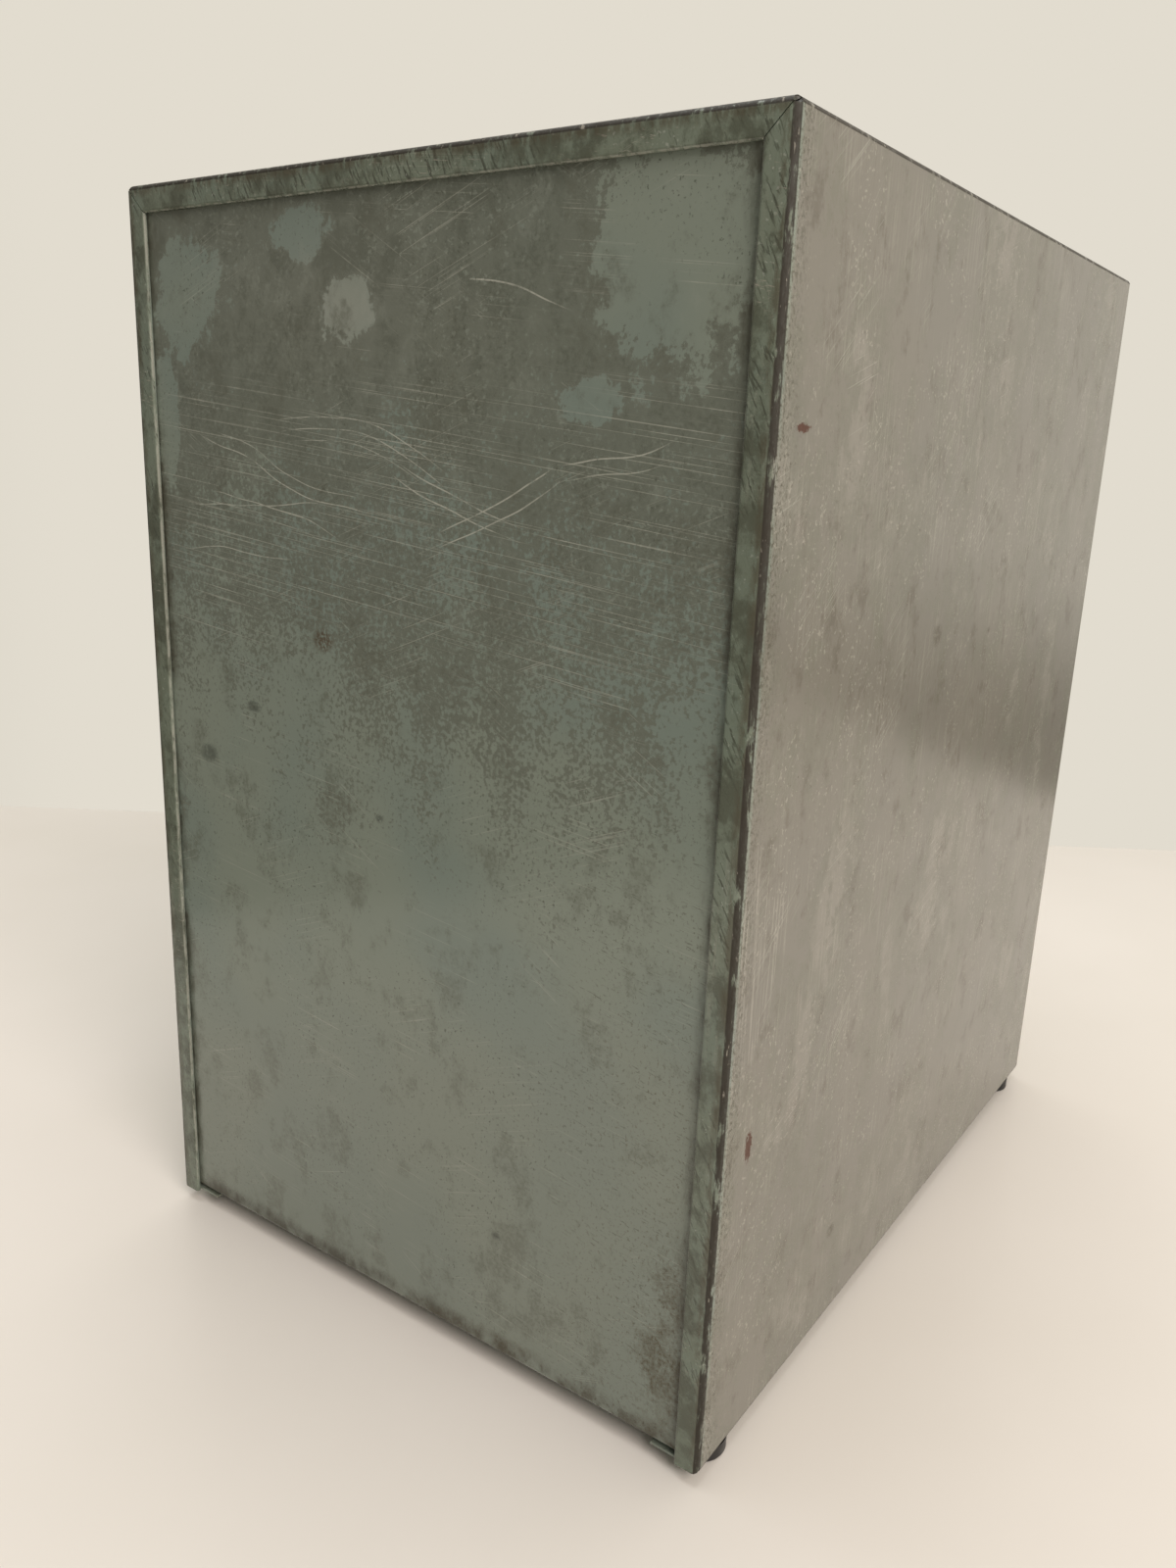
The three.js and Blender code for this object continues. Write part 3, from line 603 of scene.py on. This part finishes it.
def buildCase():
    finish(welded("case_wrapper"), "case_shell", caseEnamel, "case", "case_paint", "case_wrapper")
    finish(welded("back_panel"), "case_back", backEnamel, "case", "case_paint", "back_panel")
    finish(welded("base_panel"), "case_base", insideEnamel, "case", "inner_paint", "base_panel")
    for side in ("left", "right"):
        finish(welded("rear_stop_" + side), "stop_" + side, zincPlate, "case", "plated_steel",
               "rear_stop_" + side)
    for name in sorted(nodes):
        if name.startswith("runner_"):
            finish(welded(name), name.replace("runner", "slide_rail"), zincPlate, "case", "plated_steel",
                   name)


buildCase()
print("built the case")


def buildDrawers():
    for body in drawers:
        finish(welded(body + "_tray"), body + "_box", insideEnamel, body, "inner_paint", body + "_tray")
        finish(welded(body + "_front"), body + "_face", frontEnamel, body, "case_paint", body + "_front")
        finish(welded(body + "_pull"), body + "_handle", nickelPlate, body, "pull_nickel", body + "_pull")


buildDrawers()
print("built the drawers")

tiny = 1e-6  # m, within which two points count as level


# selects the faces or edges that pass a test, and nothing else; edit mode before and after
def pick(piece, kind, test):
    bpy.ops.mesh.select_mode(type="FACE" if kind == "polygons" else "EDGE")
    bpy.ops.mesh.select_all(action="DESELECT")
    bpy.ops.object.mode_set(mode="OBJECT")
    points = piece.data.vertices
    for part in getattr(piece.data, kind):
        part.select = test([points[index].co for index in part.vertices])
    bpy.ops.object.mode_set(mode="EDIT")


# a copy with its own mesh, its place in the mesh
def placed(piece, place):
    twin = piece.copy()
    twin.data = piece.data.copy()
    scene.collection.objects.link(twin)
    only(twin)
    twin.location = place
    bpy.ops.object.transform_apply(location=True)
    return twin


def middle(node):
    low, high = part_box(node)
    return (low + high) / 2


footLook = {
    "flat": 8.8, "seat": 2.95, "seatDepth": 2.6, "rim": 0.25,  # mm: radii, depth and rounding
    "sides": 48, "rounds": 7, "rimRounds": 2,
    "soft": 35,  # degrees, below which an edge is smooth
}


# one rubber foot at the origin: a disc rounded below, with a seat for the screw's head
def modelFoot(look):
    low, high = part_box("foot_front_left")
    radius, tall = (high.x - low.x) / 2, high.z - low.z
    bpy.ops.object.select_all(action="DESELECT")
    bpy.ops.mesh.primitive_cylinder_add(vertices=look["sides"], radius=radius, depth=tall)
    foot = bpy.context.object
    bottom = -tall / 2
    bpy.ops.object.mode_set(mode="EDIT")
    pick(foot, "edges", lambda ends: all(p.z < bottom + tiny for p in ends))
    bpy.ops.mesh.bevel(offset=radius - look["flat"] * mm, segments=look["rounds"], profile=0.5)
    pick(foot, "polygons", lambda corners: all(p.z < bottom + tiny for p in corners))
    bpy.ops.mesh.inset(thickness=(look["flat"] - look["seat"]) * mm)
    bpy.ops.mesh.extrude_region_move(TRANSFORM_OT_translate={"value": (0, 0, look["seatDepth"] * mm)})
    pick(foot, "edges", lambda ends: all(p.z < bottom + tiny and p.xy.length < look["seat"] * mm + tiny
                                         for p in ends))
    bpy.ops.mesh.bevel(offset=look["rim"] * mm, segments=look["rimRounds"])
    bpy.ops.object.mode_set(mode="OBJECT")
    bpy.ops.object.shade_smooth_by_angle(angle=math.radians(look["soft"]))
    return foot


def buildFeet():
    foot = modelFoot(footLook)
    for name in sorted(nodes):
        if name.startswith("foot_") and "screw" not in name and "nut" not in name:
            finish(placed(foot, middle(name)), "rubber_" + name, blackRubber, "case", "foot_rubber", name)
    bpy.data.objects.remove(foot)


buildFeet()
print("built the feet")

cardShape = {
    "corner": 1.5, "edge": 0.08,  # mm, roundings
    "cornerRounds": 5, "edgeRounds": 2,
    "sharp": 50, "soft": 40,  # degrees: edges that are rubbed, and edges that are smooth
}


# one label card at the origin: its corners rounded, its edges rubbed soft
def modelCard(look):
    low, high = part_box(drawers[0] + "_card")
    bpy.ops.object.select_all(action="DESELECT")
    bpy.ops.mesh.primitive_cube_add(size=1)
    card = bpy.context.object
    card.scale = high - low
    bpy.ops.object.transform_apply(scale=True)
    bpy.ops.object.mode_set(mode="EDIT")
    pick(card, "edges", lambda ends: (ends[0] - ends[1]).xz.length < tiny)
    bpy.ops.mesh.bevel(offset=look["corner"] * mm, segments=look["cornerRounds"])
    bpy.ops.object.mode_set(mode="OBJECT")
    soften = card.modifiers.new("soften", "BEVEL")
    soften.width = look["edge"] * mm
    soften.segments = look["edgeRounds"]
    soften.angle_limit = math.radians(look["sharp"])
    bpy.ops.object.modifier_apply(modifier=soften.name)
    bpy.ops.object.shade_smooth_by_angle(angle=math.radians(look["soft"]))
    return card


rivetLook = {
    "head": 3.0, "shank": 1.5, "tail": 2.4,  # mm, radii
    "headHeight": 1.1, "tailHeight": 0.8, "dome": 0.99, "crown": 0.7, "crownRise": 0.12,  # mm
    "taper": 0.75,  # share of the tail's radius at its end
    "sides": 32, "rounds": 5,
    "soft": 40,  # degrees, below which an edge is smooth
}


# one rivet at the origin, its head towards -Y: a domed head, the shank, and the tail spread behind
def modelRivet(look):
    low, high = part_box(drawers[0] + "_rivet_left")
    deep = high.y - low.y
    bpy.ops.object.select_all(action="DESELECT")
    bpy.ops.mesh.primitive_cylinder_add(vertices=look["sides"], radius=look["head"] * mm,
                                        depth=look["headHeight"] * mm)
    rivet = bpy.context.object
    half = look["headHeight"] / 2 * mm
    bpy.ops.object.mode_set(mode="EDIT")
    pick(rivet, "edges", lambda ends: all(p.z > half - tiny for p in ends))
    bpy.ops.mesh.bevel(offset=look["dome"] * mm, segments=look["rounds"])
    pick(rivet, "polygons", lambda corners: all(p.z > half - tiny for p in corners))
    bpy.ops.mesh.inset(thickness=look["crown"] * mm)
    bpy.ops.transform.translate(value=(0, 0, look["crownRise"] * mm))
    pick(rivet, "polygons", lambda corners: all(p.z < -half + tiny for p in corners))
    bpy.ops.mesh.inset(thickness=(look["head"] - look["shank"]) * mm)
    shankLength = deep - (look["headHeight"] + look["tailHeight"]) * mm
    bpy.ops.mesh.extrude_region_move(TRANSFORM_OT_translate={"value": (0, 0, -shankLength)})
    bpy.ops.mesh.extrude_region_move(TRANSFORM_OT_translate={"value": (0, 0, 0)})
    spread = look["tail"] / look["shank"]
    bpy.ops.transform.resize(value=(spread, spread, 1))
    bpy.ops.mesh.extrude_region_move(TRANSFORM_OT_translate={"value": (0, 0, -look["tailHeight"] * mm)})
    bpy.ops.transform.resize(value=(look["taper"], look["taper"], 1))
    bpy.ops.object.mode_set(mode="OBJECT")
    # from standing on its shank to lying along Y, its middle at the origin
    rivet.rotation_euler = (math.radians(90), 0, 0)
    bpy.ops.object.transform_apply(rotation=True)
    points = [p.co.y for p in rivet.data.vertices]
    rivet.location = (0, -(min(points) + max(points)) / 2, 0)
    bpy.ops.object.transform_apply(location=True)
    bpy.ops.object.shade_smooth_by_angle(angle=math.radians(look["soft"]))
    return rivet


def buildLabels():
    card = modelCard(cardShape)
    rivet = modelRivet(rivetLook)
    for body in drawers:
        name = body + "_card"
        finish(placed(card, middle(name)), body + "_label", cardPaper, body, "label_card", name)
        for side in ("left", "right"):
            name = body + "_rivet_" + side
            finish(placed(rivet, middle(name)), body + "_pin_" + side, nickelPlate, body, "fixings", name)
    bpy.data.objects.remove(card)
    bpy.data.objects.remove(rivet)


buildLabels()
print("built the labels and rivets")

# the foot screws and nuts keep their own shapes
for name, node in nodes.items():
    if "screw" in name or "nut" in name:
        node.data.materials.clear()
        node.data.materials.append(zincPlate)

# melamine laminate, pressed smooth: half gloss, white with faint clouds
floorLook = {
    "white": "#e6e1db", "grey": "#dad5cc", "ior": 1.5, "rough": 0.28,
    "clouds": 5,  # to the metre
    "size": 5, "middle": (-0.7, 0.3, 0),  # m, before its edges are cut
    # a point on each edge of the table top, and the way out over it
    "edges": [((0.329, -0.402, 0), (0.569, -0.822, 0)), ((0.424, 0.409, 0), (0.806, 0.592, 0))],
}


def addFloor():
    bpy.ops.object.select_all(action="DESELECT")
    bpy.ops.mesh.primitive_plane_add(size=floorLook["size"], location=floorLook["middle"])
    floor = bpy.context.object
    floor.name = "floor"
    bpy.ops.object.mode_set(mode="EDIT")
    for point, outward in floorLook["edges"]:
        bpy.ops.mesh.select_all(action="SELECT")
        bpy.ops.mesh.bisect(plane_co=point, plane_no=outward, clear_outer=True)
    bpy.ops.object.mode_set(mode="OBJECT")
    bpy.ops.object.transform_apply(location=True)
    material, tree, surface = newMaterial("white_laminate", {
        "IOR": floorLook["ior"], "Roughness": floorLook["rough"]})
    cloud = put(tree, "TexNoise", None, {
        "Vector": put(tree, "TexCoord", out=3), "Scale": floorLook["clouds"], "Detail": 3})
    colour = put(tree, "Mix", inColour, {
        0: cloud, 6: linear(floorLook["white"]), 7: linear(floorLook["grey"])}, out=2)
    tree.links.new(colour, surface.inputs["Base Color"])
    floor.data.materials.append(material)


worldLook = {
    "wall": "#e2dccf", "room": "#6d6a66", "strength": 1.0,
    "roomDirection": (0.62, 0.78, 0.0),  # where the room is darker
    "roomFade": (0.1, 0.7),  # how far round towards it, from none to all
    "low": "#5f5b53",  # the room's own floor, seen past the table but not before the wall
    "lowFade": (-0.06, -0.2),  # how far down
    "wallDirection": (0.569, -0.822, 0.0),
    "wallFade": (0.84, 0.64),  # how far round from it
}


def addWorld():
    world = bpy.data.worlds.new("studio")
    scene.world = world
    world.use_nodes = True
    tree = world.node_tree
    tree.nodes.clear()
    outward = put(tree, "TexCoord")
    split = tree.nodes.new("ShaderNodeSeparateXYZ")
    tree.links.new(outward, split.inputs[0])
    towardRoom, towardWall = (
        put(tree, "VectorMath", dotProduct, {0: outward, 1: worldLook[name]}, out=1)
        for name in ("roomDirection", "wallDirection"))
    fades = {}
    for name, value in (("roomFade", towardRoom), ("lowFade", split.outputs[2]), ("wallFade", towardWall)):
        fades[name] = put(tree, "MapRange", soft, {
            "Value": value, "From Min": worldLook[name][0], "From Max": worldLook[name][1]})
    colour = put(tree, "Mix", inColour, {
        0: fades["roomFade"], 6: linear(worldLook["wall"]), 7: linear(worldLook["room"])}, out=2)
    share = put(tree, "Math", multiply, {0: fades["lowFade"], 1: fades["wallFade"]})
    colour = put(tree, "Mix", inColour, {0: share, 6: colour, 7: linear(worldLook["low"])}, out=2)
    shine = put(tree, "Background", None, {"Color": colour, "Strength": worldLook["strength"]})
    output = tree.nodes.new("ShaderNodeOutputWorld")
    tree.links.new(shine, output.inputs["Surface"])


lamps = [
    # name, place, aim, size in m, watts, colour
    ("key", (-1.7, 1.0, 1.7), (0, 0, 0.1), 1.4, 36, "#fff4f0"),
    ("overhead", (0.2, 0.1, 2.2), (0, 0, 0), 1.6, 18, "#fafcff"),
    ("roomLamp", (1.81, 1.9, 0.61), (0, 0.19, 0.3), 0.14, 0.17, "#ffdccd"),
]


def addLamps():
    for name, place, aim, size, watts, shade in lamps:
        data = bpy.data.lights.new(name, "AREA")
        data.shape = "DISK"
        data.size = size
        data.energy = watts
        data.color = linear(shade)[:3]
        lamp = bpy.data.objects.new(name, data)
        scene.collection.objects.link(lamp)
        lamp.location = place
        lamp.rotation_euler = (Vector(aim) - Vector(place)).to_track_quat("-Z", "Y").to_euler()


addCamera()
addFloor()
addWorld()
addLamps()
scene.view_settings.view_transform = "Standard"
scene.view_settings.look = "None"
print("set the view, floor and light")
